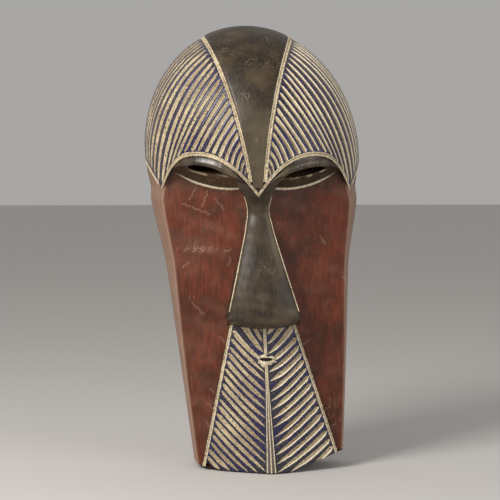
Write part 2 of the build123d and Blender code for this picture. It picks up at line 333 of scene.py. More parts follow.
# the skull dome, worked in directions on a unit half sphere
skull = {"z": 274.0, "wide": 93.0, "deep": 107.0, "tall": 108.0, "inner": (0, -10, 270), "lines": 26, "pitch": 4.6,
         "rows": 150, "cutHalf": 0.23, "tapers": (0.05, 0.04), "seed": 20, "dust": {"right": 0.55, "left": 0.3},
         "browGap": 3.4, "crestGap": 3.3, "startClimb": -13, "endClimb": 90}
crest = {"low": 251, "span": 121, "half": 4.2, "spread": 15, "flare": 17.8, "climbTall": 97, "edge": 1.6,
         "settleFrom": 86, "settleTo": 90}
brow = {"peakX": 49, "peakZ": 272, "rootDrop": 34, "rootPower": 2.1, "endX": 80, "endDrop": 30, "endPower": 2.8,
        "templeSlope": 1.75}


def domePoint(direction):
    x, y, z = direction[..., 0], direction[..., 1], direction[..., 2]
    return np.stack([skull["wide"] * x, -skull["deep"] * np.abs(y) ** 0.8, skull["z"] + skull["tall"] * z], axis=-1)


def domeNormal(direction):
    x, y, z = direction[..., 0], direction[..., 1], direction[..., 2]
    forward = -np.abs(y) ** 1.2 / skull["deep"] * 1.1
    return unit(np.stack([x / skull["wide"], forward, z / skull["tall"]], axis=-1))


def crestHalf(z):
    share = (z - crest["low"]) / crest["span"]
    return crest["half"] + crest["spread"] * share + crest["flare"] * share ** 2


# a direction beside the crest, at an angle up from the brow over the top to the rim
def crestDirection(climb, extra):
    x = (crestHalf(skull["z"] + crest["climbTall"] * np.sin(climb)) + extra) / skull["wide"]
    rest = np.sqrt(1 - x ** 2)
    return np.stack([x, -rest * np.cos(climb), rest * np.sin(climb)], axis=-1)


# lower edge of the forehead: an arch over each eye, then up to the rim at the temple
def browZ(x):
    rootShare = np.clip(1 - x / brow["peakX"], 0, 1)
    endShare = np.clip((x - brow["peakX"]) / (brow["endX"] - brow["peakX"]), 0, 1)
    inner = brow["peakZ"] - brow["rootDrop"] * rootShare ** brow["rootPower"]
    outer = brow["peakZ"] - brow["endDrop"] * endShare ** brow["endPower"]
    beyond = brow["peakZ"] - brow["endDrop"] + (x - brow["endX"]) * brow["templeSlope"]
    return np.where(x < brow["peakX"], inner, np.where(x < brow["endX"], outer, beyond))


def frontDirection(x, z):
    x = np.asarray(x, float) / skull["wide"]
    z = (np.asarray(z, float) - skull["z"]) / skull["tall"]
    x, z = np.broadcast_arrays(x, z)
    x = np.minimum(x, np.sqrt(1 - z ** 2))
    return np.stack([x, -np.sqrt(np.clip(1 - x ** 2 - z ** 2, 0, 1)), z], axis=-1)


# a line of points on the dome with their normals, on one side of the mask
def domeEdge(direction, side):
    flip = np.array([side, 1, 1])
    return domePoint(direction) * flip, domeNormal(direction) * flip


# t runs over the lines from the brow's root to the rim, s along a line from the crest to the brow
def skullSurface(side):
    def surface(t, s):
        t, s = np.broadcast_arrays(t, s)
        reach = np.clip(t, 0, 1)
        climb = np.radians(skull["startClimb"] + (skull["endClimb"] - skull["startClimb"]) * reach)
        start = crestDirection(climb, skull["crestGap"])
        endX = skull["wide"] * np.sin(np.radians(3.2 + 86.3 * (reach - 0.065 * np.sin(2 * np.pi * reach))))
        end = frontDirection(endX, browZ(endX) + skull["browGap"])
        turn = np.arccos(np.clip((start * end).sum(-1), -1, 0.999999))[..., None]
        along = s[..., None]
        arc = (np.sin((1 - along) * turn) * start + np.sin(along * turn) * end) / np.sin(turn)
        straight = (1 - along) * start + along * end
        straight[..., 1] = -np.sqrt(np.clip(1 - straight[..., 0] ** 2 - straight[..., 2] ** 2, 0, 1))
        curved = (0.25 + 0.75 * smoothStep(0.3, 0.75, t))[..., None]
        direction = unit(straight * (1 - curved) + arc * curved)
        sideways = unit(np.cross(end, start))
        sideways *= np.sign(sideways[..., :1] + 1e-9)
        direction = unit(direction + sideways * (0.012 * (1 - t) * np.sin(np.pi * s))[..., None])
        direction[..., 1] = -np.abs(direction[..., 1])
        return domeEdge(direction, side)
    return surface


# one V-cut between two ridges, for a steep wall on its right; places are in shares of the cut's half width,
# heights in millimetres above the uncut skin
# the clay's last list is a painted highlight across the cut, brightest on the steep wall that faces the light
vCut = {"ridge": (0.30, 0.22), "floor": (-0.55, -1.15, -1.35, -0.75), "lip": 0.02, "leastLip": 0.0004,
        "leastHalf": 0.0006, "clayPlaces": (-1.04, -0.72, -0.3, 0.15, 0.5, 0.74, 1.04),
        "clayHeights": (-0.06, -0.42, -0.62, -0.80, -0.95, -0.45, 0.0),
        "clayHighlights": (0.35, 0.0, 0.0, 0.0, 0.15, 1.0, 1.0)}


# ridges with V-cuts between them as one sheet, and the clay of every cut as another; steep walls on wallSide
def groovedSheets(name, surface, sizes, wallSide, seed, inner, dust):
    count, rows = sizes["lines"], sizes["rows"]
    r = np.random.default_rng(seed)
    s = np.linspace(0, 1, rows)[:, None]
    tapers = sizes["tapers"]
    pointed = np.clip(np.minimum(s / tapers[0], (1 - s) / tapers[1]), 0, 1) ** 0.7
    lip = vCut["lip"] * pointed + vCut["leastLip"]
    ridgeTop, ridgeFoot = vCut["ridge"]
    heights = (ridgeTop, ridgeFoot, 0.0, *vCut["floor"][::wallSide], 0.0, ridgeFoot)
    nearDeep, farDeep = (0, 0.5) if wallSide > 0 else (-0.5, 0)
    places, drops, highlights = (np.array(vCut[key])[::wallSide] for key in ("clayPlaces", "clayHeights", "clayHighlights"))
    places = places * wallSide

    # how much a cut shrinks where its lines run together
    def depthScale(before, after, along):
        gap = surface(after, along)[0] - surface(before, along)[0]
        return np.clip(np.linalg.norm(gap, axis=-1) / sizes["pitch"], 0.12, 1)

    woodPlaces, woodHeights, claySheets = [], [], []
    nudges = r.uniform(-0.09, 0.09, count + 1)
    for line in range(count):
        half = sizes["cutHalf"] * r.uniform(0.86, 1.14) * pointed
        half = half * (1 + 0.10 * np.sin(s * r.uniform(5, 9) + r.uniform(0, 6))) + vCut["leastHalf"]
        centre = line + 0.5 + nudges[line] * np.sin(s * 3.1 + r.uniform(0, 6))
        stops = (-0.5 + 0 * s, -(0.5 + half) / 2, -half - lip, -half + lip, nearDeep * half, farDeep * half,
                 half - lip, half + lip, (0.5 + half) / 2)
        for stop, height in zip(stops, heights):
            woodPlaces.append(centre + stop)
            woodHeights.append(height * (pointed if height < 0 else np.ones_like(s)))
        ragged = 1 + 0.10 * r.normal(size=(rows, len(places))) * (np.abs(places) > 1)
        t = np.clip((centre + half * places * ragged) / count, 0.0, 1.0)
        p, n = surface(t, np.repeat(s, len(places), axis=1) * 0.985 + 0.0075)
        lift = drops * pointed + 0.05 + 0.05 * r.normal(size=(rows, len(places)))
        lift = lift * depthScale((centre - 0.5) / count, (centre + 0.5) / count, s)
        # painted highlight on the clay, brightest on the lit steep wall, with random flecks
        mark = np.clip(highlights + 0.12 * r.normal(size=(rows, len(places))), 0, 1)
        claySheets.append(laySheet(f"{name}_cut", p + n * lift[..., None], clay, {"wall": mark}))
    woodPlaces.append(count + 0 * s)
    woodHeights.append(np.full_like(s, ridgeTop))
    t = np.concatenate(woodPlaces, axis=1) / count
    height = np.concatenate(woodHeights, axis=1)
    p, n = surface(t, np.repeat(s, t.shape[1], axis=1))
    before, after = np.clip(t - 0.5 / count, 0, 1), np.clip(t + 0.5 / count, 0, 1)
    p = p + n * (height * depthScale(before, after, s + 0 * t))[..., None]
    wearAndSheen = dust * smoothStep(0.45, 0.95, t) * (0.75 + 0.25 * waveAt(p, 6, seed))
    wood = laySheet(f"{name}_wood", p, indigo, {"wearAndSheen": wearAndSheen})
    faceAway(wood, inner)
    clayPiece = joinSheets(f"{name}_clay", claySheets)
    faceAway(clayPiece, inner)
    finishPiece(wood, ["wood_shell"], 50)
    return clayPiece


for side, label in sides:
    lines = groovedSheets(f"skull_{label}", skullSurface(side), skull, side, skull["seed"] + side, skull["inner"],
                          skull["dust"][label])
    lines.name = f"forehead_lines_{label}_clay"
    finishPiece(lines, [f"forehead_lines_{label}"], 50)
print("skull lines cut")


def smoothMarks(points, scale, seed, low, high):
    return smoothStep(low, high, waveAt(points, scale, seed))


# crest: a raised band with rolled edges, from the brow over the top to the rim
climb = np.radians(np.linspace(-15, 90, 260))[:, None]
across = np.array([-1, -1, -0.985, -0.95, *np.linspace(-0.88, 0.88, 41), 0.95, 0.985, 1, 1])[None, :]
rise = np.array([-1.6, 0.2, 0.9, 1.35, *[1.6] * 41, 1.35, 0.9, 0.2, -1.6])[None, :]
x = crestDirection(climb, 0)[..., 0] * across
rest = np.sqrt(1 - x ** 2)
direction = np.stack([x, -rest * np.cos(climb), rest * np.sin(climb)], axis=-1)
points = domePoint(direction)
bow = 0.25 * waveAt(points, 14, 3)
settle = smoothStep(crest["settleTo"], crest["settleFrom"], np.degrees(climb))
points = points + domeNormal(direction) * ((rise - 0.3 + bow) * settle)[..., None]
# lighter low on the crest: painted sheen mixed with wear
wearAndSheen = 0.45 * smoothStep(335, 290, points[..., 2]) * smoothMarks(points, 12, 5, -0.6, 0.6)
wearAndSheen = wearAndSheen + 0.12 * smoothMarks(points, 6, 6, 0.1, 0.7)
finishWood("crest", points, darkWood, {"wearAndSheen": wearAndSheen}, skull["inner"])


# a narrow clay band between two lines of points; profile is its height, and the other list its painted highlight,
# across the band
def band(name, node, lowEdge, highEdge, look, seed, inner, ragged=0.18):
    r = np.random.default_rng(seed)
    lowPoints, normals = lowEdge
    highPoints = highEdge[0]
    rows, columns = len(lowPoints), len(look["profile"])
    share = np.linspace(0, 1, columns)[None, :, None]
    points = lowPoints[:, None] * (1 - share) + highPoints[:, None] * share
    sway = (highPoints - lowPoints)[:, None] * (r.normal(size=(rows, columns, 1)) * ragged * 0.3)
    lift = np.array(look["profile"])[None, :, None] + 0.08 * r.normal(size=(rows, columns, 1))
    points = points + sway + normals[:, None] * lift
    # painted highlight across the band, with random flecks
    mark = np.array(look["highlights"])[None, :] * 0.8 - 0.04 + 0.32 * r.normal(size=(rows, columns))
    mark = np.clip(mark + 0.14 * r.normal(size=(rows, 1)), 0, 1)
    sheet = laySheet(name, points, clay, {"wall": mark})
    faceAway(sheet, inner)
    finishPiece(sheet, [node], 60)


# each band's second list is a painted highlight across it
crestBorder = {"profile": (0.35, 0.75, 0.1, -0.1, 0.2, 0.62, 0.15), "highlights": (0.3, 1, 0.1, 0, 0.1, 0.9, 0.4),
               "overlap": 0.2, "width": {"right": 3.2, "left": 2.9}, "seed": 40}
browBorder = {"profile": (-0.3, 0.45, 0.7, 0.1, -0.05, 0.2, 0.65, 0.1), "highlights": (0.3, 1, 0.5, 0, 0, 0.1, 0.9, 0.3),
              "below": 0.3, "above": 3.3, "seed": 50}
templeLine = {"profile": (-0.1, 0.2, 0.25, 0.1, -0.1), "highlights": (0.8, 1, 0.7, 0.3, 0.3), "below": 0.4, "above": 3.3,
              "seed": 60}


def browBand(name, look, x, side, label):
    lowEdge = domeEdge(frontDirection(x, browZ(x) - look["below"]), side)
    highEdge = domeEdge(frontDirection(x, browZ(x) + look["above"]), side)
    band(f"{name}_{label}_clay", f"{name}_{label}", lowEdge, highEdge, look, look["seed"] + side, skull["inner"])


climb = np.radians(np.linspace(-12.5, 89.5, 300))
for side, label in sides:
    lowEdge = domeEdge(crestDirection(climb, -crestBorder["overlap"]), side)
    highEdge = domeEdge(crestDirection(climb, crestBorder["width"][label]), side)
    band(f"crest_border_{label}_clay", f"crest_border_{label}", lowEdge, highEdge, crestBorder,
         crestBorder["seed"] + side, skull["inner"])
    browBand("brow_border", browBorder, np.linspace(0.15, brow["endX"], 260), side, label)
    templeX = skull["wide"] * np.sin(np.radians(np.linspace(62, 89.7, 120)))
    browBand("temple_line", templeLine, templeX, side, label)
print("crest and brow done")

# face block: flanks running forward to a crease, then hollowed cheeks to the nose
block = {"top": 266, "rows": 296, "footHalf": 64.8, "spread": 0.0873, "swell": 5.45, "swellFrom": 170, "swellTo": 240,
         "widestZ": 234, "taper": 0.12, "scaleZ": 250, "flankIn": 3, "flankInAbove": 9, "creaseY": -38,
         "creaseGrows": 20, "frontY": -60, "frontGrows": 24, "hollowing": 3.0, "belly": 1.2}


def faceWidths(z):
    level = np.minimum(z, block["widestZ"])
    soft = block["swell"] * smoothStep(block["swellFrom"], block["swellTo"], level)
    rim = block["footHalf"] + block["spread"] * level + soft - block["taper"] * (z - level)
    dome = skull["wide"] * np.sqrt(np.clip(1 - ((z - skull["z"]) / skull["tall"]) ** 2, 0, 1)) - 0.3
    rim = np.where(z > block["widestZ"], np.maximum(rim, dome), rim)
    return rim, rim - block["flankIn"] - block["flankInAbove"] * (z / block["scaleZ"]) ** 2


def creaseDepth(z):
    return block["creaseY"] - block["creaseGrows"] * z / block["scaleZ"]


# depth of the cheek at x to the side of the middle
def cheekY(x, z):
    frontY = block["frontY"] - block["frontGrows"] * z / block["scaleZ"]
    share = np.clip(np.abs(x) / faceWidths(z)[1], 0, 1)
    hollowing = block["hollowing"] * np.sin(np.pi * share) ** 1.2
    return frontY + (creaseDepth(z) - frontY) * share + hollowing


z = np.linspace(0, block["top"], block["rows"])[:, None]
rim, crease = faceWidths(z)
creaseY = creaseDepth(z)
flankShare = np.linspace(0, 0.97, 40)
cheekShare = np.concatenate([[0.994, 0.982, 0.965], np.linspace(0.94, 0, 68)])
flankX = -(rim + (crease - rim) * flankShare) - block["belly"] * np.sin(np.pi * flankShare)
cheekX = -crease * cheekShare
halfX = np.concatenate([flankX, -crease * 1.001, cheekX], axis=1)
halfY = np.concatenate([creaseY * flankShare, creaseY + 0.35, cheekY(cheekX, z)], axis=1)
x = np.concatenate([halfX, -halfX[:, -2::-1]], axis=1)
y = np.concatenate([halfY, halfY[:, -2::-1]], axis=1)
zz = np.broadcast_to(z, x.shape)
onFlank = np.concatenate([np.ones(40), [0.6], np.zeros(71)])
onFlank = np.concatenate([onFlank, onFlank[-2::-1]])[None, :] * np.ones_like(x)
y = y + 0.22 * wave(x, y, zz, 7, 11) * (1 - onFlank) + 0.35 * wave(x, y, zz, 22, 12) * (1 - onFlank)
points = np.stack([x, y, zz], axis=-1)

# ends of each scratch across the cheeks, as x, z, x, z
scratchEnds = ((-57, 234, -50, 246), (-47, 228, -41, 242), (-63, 231, -40, 222), (-36, 236, -28, 226),
               (-30, 190, -24, 193), (-27, 178, -25, 186), (-66, 176, -60, 181), (52, 203, 57, 196),
               (-60, 146, -50, 136), (70, 168, 73, 164), (-33, 112, -38, 117), (-43.5, 66, -49, 72),
               (-46.5, 54, -52, 59), (-50.5, 38, -54, 43), (34, 110, 38, 114), (51, 52, 55, 56), (55, 36, 59, 41))
scratches = 0
for x0, z0, x1, z1 in scratchEnds:
    length = math.hypot(x1 - x0, z1 - z0)
    along = ((x - x0) * (x1 - x0) + (zz - z0) * (z1 - z0)) / length
    aside = ((x - x0) * (z1 - z0) - (zz - z0) * (x1 - x0)) / length + 0.5 * np.sin(along)
    onLine = smoothStep(-1, 1, along) * smoothStep(length + 1, length - 1, along)
    scratches = scratches + np.exp(-(aside / 0.55) ** 2) * onLine * (0.6 + 0.4 * np.sin(along * 2.3))

# painted shade under the brow and round the eyes, a bruise on the left cheek, wear along the crease and the rim
nearBrow = smoothStep(232, 262, zz) * smoothStep(66, 76, np.abs(x)) * (1 - onFlank)
nearEye = smoothStep(238, 250, zz) * (1 - smoothStep(60, 74, np.abs(x)))
bruise = np.exp(-((x + 52) / 12) ** 2 - ((zz - 192) / 2.6) ** 2) * smoothStep(-0.2, 0.5, wave(x, y, zz, 1.2, 13))
rubbed = 0.05 * smoothStep(-0.2, 0.8, wave(x, y, zz, 17, 14)) + 0.03 * smoothStep(0.1, 0.7, wave(x, y, zz, 4, 15))
rimWear = smoothStep(0.10, 0.0, np.abs(y) / 60) * 0.6
creaseWear = np.exp(-((np.abs(x) - np.broadcast_to(crease, x.shape)) / 0.9) ** 2) * (y < -30) * 0.3
wearAndSheen = 0.6 * bruise + creaseWear + 0.4 * scratches + rubbed * (1 - onFlank) + rimWear * onFlank
marks = {"flank": onFlank, "paintedShade": np.clip(nearBrow + 0.6 * nearEye, 0, 0.95), "wearAndSheen": np.clip(wearAndSheen, 0, 0.8)}
finishWood("face_block", points, redWood, marks, (0, -20, 130), 30)

# eyes: a lid that swells from the brow down to the cheek, round a slit cut through the wood
eye = {"middle": 43, "half": 36.5, "edgeLow": 2, "edgeHigh": 79.7, "slitAbove": 3.3, "slitBelow": 2.6,
       "wallClimb": 0.42, "ridge": 4.2, "ridgeAt": 0.66, "lowerBulge": 2.2,
       "right": {"x": 41.0, "z": 258.0, "half": 18.0, "tilt": 0.20},
       "left": {"x": 43.2, "z": 260.0, "half": 14.5, "tilt": 0.19}}
lidLine = {"profile": (-0.6, 0.5, 0.9, 0.8, 0.3, -0.8), "highlights": (0.8, 1, 1, 0.9, 0.5, 0.2), "from": 11.5, "to": 68,
           "seed": 70}


def lidLineZ(x):
    return 244.3 + 0.0069 * np.clip(x - 24, -30, 60) ** 2


def browOver(x):
    return browZ(np.clip(x, eye["edgeLow"], eye["edgeHigh"]))


def eyeSheet(side, label):
    slit = eye[label]
    angle = np.linspace(0, 2 * np.pi, 221)
    upper = np.sin(angle) >= 0
    outX = eye["middle"] + eye["half"] * np.cos(angle)
    top = browOver(outX) + 0.4
    low = lidLineZ(outX) - 0.2
    mid = (top + low) / 2
    pinch = np.abs(np.sin(angle)) ** 0.55
    outZ = mid + (np.where(upper, top, low) - mid) * pinch
    inX = slit["x"] + slit["half"] * np.cos(angle)
    slitRise = np.where(upper, eye["slitAbove"], -eye["slitBelow"]) * np.abs(np.sin(angle)) ** 1.3
    inZ = slit["z"] + slit["tilt"] * (inX - slit["x"]) + slitRise
    rings = np.concatenate([[0.0, 0.012, 0.05], np.linspace(0.1, 0.9, 26), [0.94, 0.97, 1.0]])[:, None]
    x = inX + (outX - inX) * rings
    z = inZ + (outZ - inZ) * rings
    browDepth = domePoint(frontDirection(np.clip(x, eye["edgeLow"], eye["edgeHigh"]), browOver(x)))[..., 1] + 2.0
    lidDepth = cheekY(x, z) - 0.8
    top, low = browOver(x), lidLineZ(x)
    climbShare = np.clip((z - low) / np.maximum(top - low, 3), 0, 1)
    y = lidDepth + (browDepth - lidDepth) * np.sin(climbShare * np.pi / 2) ** 0.85
    y = y - eye["ridge"] * np.exp(-((climbShare - eye["ridgeAt"]) / 0.2) ** 2)
    lipDrop = np.exp(-(rings / 0.05) ** 2)
    lowerLid = (np.sin(angle) < 0) * np.sin(rings * np.pi) * eye["lowerBulge"] * np.abs(np.sin(angle))
    y = y + lipDrop + lowerLid + 0.25 * wave(x, y, z, 5, 30 + side)

    # marks on the lid, with a painted highlight on its upper part, then the slit's walls, which run back and up into
    # the hollow
    bright = smoothStep(0.35, 0.7, climbShare) * 0.5 * smoothStep(-0.3, 0.6, wave(x, y, z, 8, 33))
    under = np.exp(-((rings - 0.13) / 0.09) ** 2) * (np.sin(angle) < -0.05)
    patchy = smoothStep(0.0, 0.4, wave(x, y, z, 2.4, 35 + side))
    wallDepth = np.array([24, 12, 5, 1.5])[:, None]
    clean = np.zeros((len(wallDepth), len(angle)))
    x = np.concatenate([inX + clean, x])
    y = np.concatenate([y[0] + wallDepth, y])
    z = np.concatenate([inZ + wallDepth * eye["wallClimb"], z])
    marks = {"wearAndSheen": np.concatenate([clean, bright]), "chalk": np.concatenate([clean, under * patchy])}
    points = np.stack([x * side, y, z], axis=-1)
    finishWood(f"eyelid_{label}", points, lidWood, marks, (side * 42, -40, 256), 45)


for side, label in sides:
    eyeSheet(side, label)
    x = np.linspace(lidLine["from"], lidLine["to"], 140)
    taper = np.minimum(1, np.minimum((x - 11) / 5, (68.6 - x) / 14))
    y, z = cheekY(x, lidLineZ(x)) - 1.0, lidLineZ(x)
    normal = unit(np.stack([0.33 + 0 * x, -0.94 + 0 * x, -0.1 + 0 * x], axis=-1)) * [side, 1, 1]
    low = np.stack([x * side, y + 0.3, z - 1.6 * taper], axis=-1)
    high = np.stack([x * side, y - 0.8, z + 1.4 * taper], axis=-1)
    band(f"lower_lid_line_{label}_clay", f"lower_lid_line_{label}", (low, normal), (high, normal), lidLine,
         lidLine["seed"] + side, (side * 40, -30, 240))
print("face and eyes done")

# nose: waisted under the brow, then widening to the wings
noseForm = {"top": 254, "bottom": 139, "waistZ": 220, "waistHalf": 8.6, "spread": 0.262, "tipY": -86, "tipGrows": 11,
            "arch": 3.4, "archGrows": 2.6, "archPower": 2.4, "sag": 4.6, "sideDepth": 24, "underZ": 135.0,
            "inner": (0, -60, 180)}
noseOutline = {"profile": (-0.3, 0.3, 0.4, 0.2, -0.3), "highlights": (0.0, 0.5, 0.9, 0.6, 0.0), "seed": 80,
               "size": {"right": 0.6, "left": 0.8}}


def noseHalf(z):
    below = noseForm["waistHalf"] + noseForm["spread"] * np.clip(noseForm["waistZ"] - z, 0, 200)
    above = 7.2 * np.clip((z - 224) / 23, 0, 2) ** 1.8
    return below + above + 0.8 * np.exp(-((z - 218) / 8) ** 2)


def noseY(z):
    tip = noseForm["tipY"] - noseForm["tipGrows"] * smoothStep(222, 140, z) + 2.5 * np.exp(-((z - 224) / 7) ** 2)
    return tip - 15 * smoothStep(224, 250, z)


def noseArch(z):
    return noseForm["arch"] + noseForm["archGrows"] * smoothStep(222, 140, z)


z = np.concatenate([np.linspace(noseForm["top"], noseForm["bottom"], 190), [137.5, 136.2, 135.0, 134.2]])[:, None]
sinkIn = np.concatenate([np.zeros(190), [0.4, 1.4, 3.0, 6.0]])[:, None]
nearEdge = np.array([0.93, 0.965, 0.99])
u = np.concatenate([[-1.0] * 6, -nearEdge[::-1], np.linspace(-0.88, 0.88, 45), nearEdge, [1.0] * 6])[None, :]
sideStep = np.array([1.0, 0.8, 0.6, 0.4, 0.2, 0.07])
drop = np.concatenate([sideStep, np.zeros(51), sideStep[::-1]])[None, :]
rounding = np.array([1.0, 0.5, 0.15])
rounding = np.concatenate([np.zeros(6), rounding, np.zeros(45), rounding[::-1], np.zeros(6)])[None, :]
x = noseHalf(z) * u * (1 + 0.06 * drop)
y = noseY(z) + sinkIn + noseArch(z) * np.abs(u) ** noseForm["archPower"] + drop * noseForm["sideDepth"]
y = y + rounding * 0.9
zz = z - noseForm["sag"] * (1 - np.clip(np.abs(u), 0, 1) ** 2) * smoothStep(158, 136, z)
y = y + 0.2 * wave(x, y, zz, 6, 17)
points = np.stack([x, y, zz], axis=-1)
# a painted highlight on the right bevel and at the waist, over random wear
bevel = smoothStep(0.55, 0.8, u) * smoothStep(240, 215, zz) * smoothStep(165, 200, zz) * 0.55
waist = 0.1 * smoothStep(205, 220, zz) * smoothStep(240, 222, zz)
wearAndSheen = np.clip(bevel + waist + 0.25 * smoothMarks(points, 7, 19, 0.2, 0.8), 0, 0.8)
finishWood("nose", points, darkWood, {"wearAndSheen": wearAndSheen}, noseForm["inner"], 45)

# underside of the nose, running back into the chin
u = np.linspace(-1, 1, 60)[None, :]
back = np.linspace(0, 1, 12)[:, None]
x = noseHalf(noseForm["underZ"]) * u
arch = noseForm["arch"] + noseForm["archGrows"]
y = noseY(noseForm["underZ"]) + 5.6 + arch * np.abs(u) ** noseForm["archPower"] + back * 26
zz = 134.3 - noseForm["sag"] * (1 - u ** 2) - back * 7 + 0.3 * wave(x, y, 0 * u + 130, 3, 23)
points = np.stack([x + 0 * y, y, zz], axis=-1)
finishWood("nose_underside", points, darkWood, {"wearAndSheen": 0.0}, noseForm["inner"], 45)

for side, label in sides:
    z = np.linspace(238, 142, 220)
    y = noseY(z) + noseArch(z)
    normal = unit(np.stack([0.75 + 0 * z, -0.65 + 0 * z, 0 * z], axis=-1)) * [side, 1, 1]
    size = noseOutline["size"][label] * smoothStep(140, 160, z) * 0.6 + 0.2
    low = np.stack([(noseHalf(z) + 0.3) * side, y + 1.5 * size + 0.6, z], axis=-1)
    high = np.stack([(noseHalf(z) - 0.5 * size) * side, y + 0.2, z], axis=-1)
    band(f"nose_outline_{label}_clay", f"nose_outline_{label}", (low, normal), (high, normal), noseOutline,
         noseOutline["seed"] + side, noseForm["inner"])
print("nose done")

# chin panel: two facets that meet in a ridge, with chevron cuts
chin = {"top": 134.0, "facetSlope": math.tan(math.radians(23)), "ridgeY": -68, "ridgeGrows": 12, "hollowing": 1.3,
        "firstZ": 124, "lastZ": -48, "lines": 21, "pitch": 5.5, "rows": 90, "cutHalf": 0.27, "tapers": (0.32, 0.07),
        "seed": 90, "inner": (0, -30, 60), "steepen": {"right": 0.35, "left": 0.9},
        "right": {"foot": 63.0, "top": 25.0, "rise": math.tan(math.radians(38.5)), "flatten": 0.16},
        "left": {"foot": 59.0, "top": 27.0, "rise": math.tan(math.radians(46)), "flatten": 0.0}}
chinBorder = {"profile": (0.1, 0.6, 0.5, 0.0, 0.1, 0.5, -0.3), "highlights": (0.8, 1, 0.3, 0, 0.1, 0.9, 0.4),
              "inside": 2.2, "outside": 0.5, "seed": 100}
chinRib = {"profile": (-0.4, 0.35, 0.6, 0.35, -0.4), "highlights": (0.5, 0.9, 1, 0.9, 0.5), "seed": 111}


def ridgeY(z):
    return chin["ridgeY"] - chin["ridgeGrows"] * z / chin["top"]


def chinHalf(z, label):
    spread = chin[label]
    return spread["foot"] + z / chin["top"] * (spread["top"] - spread["foot"])


def chinPoint(x, z, label):
    reach = np.clip(x / chinHalf(z, label), 0, 1)
    y = ridgeY(z) + x * chin["facetSlope"] - chin["hollowing"] * np.sin(np.pi * reach)
    return np.stack([x, y, z + 0 * x], axis=-1)


# t runs over the lines from the nose down, s along a line from the ridge out to the border
def chinSurface(side, label):
    spread = chin[label]
    taper = (spread["foot"] - spread["top"]) / chin["top"]
    flip = np.array([side, 1, 1])
    normal = unit(np.array([math.sin(math.radians(23)), -math.cos(math.radians(23)), -0.085]))

    def surface(t, s):
        t, s = np.broadcast_arrays(t, s)
        start = chin["firstZ"] - (chin["firstZ"] - chin["lastZ"]) * t
        rise = spread["rise"] * (1 - spread["flatten"] * smoothStep(0.55, 1.0, t))
        rise = rise * (1 + chin["steepen"][label] * smoothStep(mouthHeight - 6, mouthHeight + 14, start))
        beside = 1.8 + 2.9 * np.clip(1 - (start + 3) / 80, 0, 1) ** 1.1
        startX = np.where(start < 1, np.maximum(beside, (1 - start) / rise), beside)
        endX = (spread["foot"] - 2.4 - taper * start) / (1 + taper * rise)
        endX = np.minimum(endX, (131 - start) / rise)
        startX = np.minimum(startX, endX - 0.3)
        x = startX + (endX - startX) * s
        z = start + rise * x - 1.6 * np.sin(np.pi * s) * np.clip((endX - startX) / 30, 0, 1)
        points = chinPoint(x, np.maximum(z, 0), label)
        return points * flip, np.broadcast_to(normal * flip, points.shape)
    return surface


for side, label in sides:
    lines = groovedSheets(f"chin_{label}", chinSurface(side, label), chin, side, chin["seed"] + side, chin["inner"],
                          0.0)
    lines.name = f"chin_lines_{label}_clay"
    finishPiece(lines, [f"chin_lines_{label}"], 50)

    flip = np.array([side, 1, 1])
    z = np.linspace(2, 132, 200)
    edge = chinHalf(z, label)
    normal = np.broadcast_to(unit(np.array([0.39, -0.92, -0.08])) * flip, (200, 3))
    inside = chinPoint(edge - chinBorder["inside"], z, label) * flip
    outside = chinPoint(edge + chinBorder["outside"], z, label) * flip
    outside[:, 1] += 0.8
    band(f"chin_border_{label}_clay", f"chin_border_{label}", (inside, normal), (outside, normal), chinBorder,
         chinBorder["seed"] + side, chin["inner"])

    # side wall of the panel, running back to the cheek, with painted shade
    depth = np.linspace(0, 1, 8)[None, :]
    wallX = (edge + 0.4)[:, None] + 0.6 * depth
    wallY = chinPoint(edge, z, label)[:, 1][:, None] + 0.5 + 16 * depth
    wall = np.stack([wallX * side, wallY, z[:, None] + 0 * depth], axis=-1)
    finishWood(f"chin_wall_{label}", wall, redWood, {"flank": 0.0, "paintedShade": 0.35, "wearAndSheen": 0.0}, chin["inner"])

# centre line: three fine ribs that spread towards the foot, dipping under the mouth
z = np.linspace(1, 130, 240)
below = np.clip(1 - z / 82, 0, 1)
spread = 0.9 + 2.7 * below ** 1.1
ribHalf = 0.5 + 0.22 * below
dip = 2.4 * np.exp(-((z - mouthHeight) / 2.8) ** 4)
normal = np.broadcast_to(np.array([0.0, -1.0, -0.09]), (240, 3))


def ridgePoint(x, drop):
    return np.stack([x, ridgeY(z) + np.abs(x) * chin["facetSlope"] + drop, z], axis=-1)


for place, label in ((-1, "left"), (0, "middle"), (1, "right")):
    low, high = ridgePoint(place * spread - ribHalf, dip), ridgePoint(place * spread + ribHalf, dip)
    band(f"chin_centre_line_{label}_clay", "chin_centre_line", (low, normal), (high, normal), chinRib,
         chinRib["seed"] + place, chin["inner"], 0.12)
bed = np.stack([ridgePoint(share * (spread + 1.2), 0.15 + dip) for share in np.linspace(-1, 1, 13)], axis=1)
finishWood("chin_ridge_wood", bed, indigo, {"wearAndSheen": 0.35}, chin["inner"])

